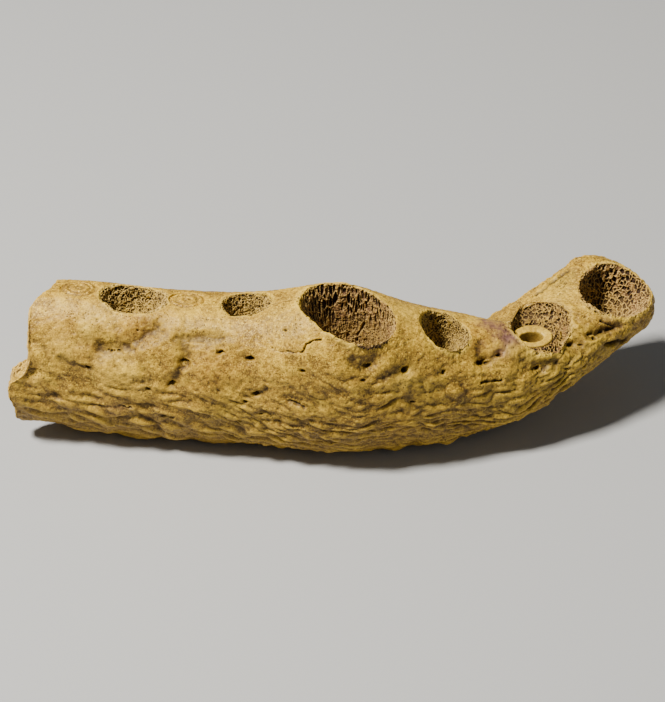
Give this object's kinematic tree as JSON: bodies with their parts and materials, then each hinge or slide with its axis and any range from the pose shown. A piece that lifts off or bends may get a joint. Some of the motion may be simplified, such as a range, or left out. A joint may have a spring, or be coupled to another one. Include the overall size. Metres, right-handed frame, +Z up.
{
  "type": "fossil crocodile jaw",
  "caption": "Front half of a fossil crocodilian's right lower jaw bone, with open tooth sockets, old roots and a rough broken end, lying on its lower edge.",
  "frame": {"origin": "middle of the bone's footprint, on the floor that it rests on", "axes": "+X along the jaw to the tip, +Y from the cheek side to the tongue side, +Z up"},
  "size_m": [0.1732, 0.0596, 0.0472],
  "materials": {
    "fossil_bone": "mineralised bone: ochre yellow with cream rims, brown grooves and purplish stains, dull satin",
    "dentine": "smooth pale yellow dentine, dull satin",
    "root_stump": "worn root with concentric growth rings, greyish yellow, matte"
  },
  "bodies": {
    "root": {"dentary": "fossil_bone", "tooth_root_2": "dentine", "root_stub_6": "root_stump", "root_stub_8": "root_stump"}
  },
  "joints": []
}
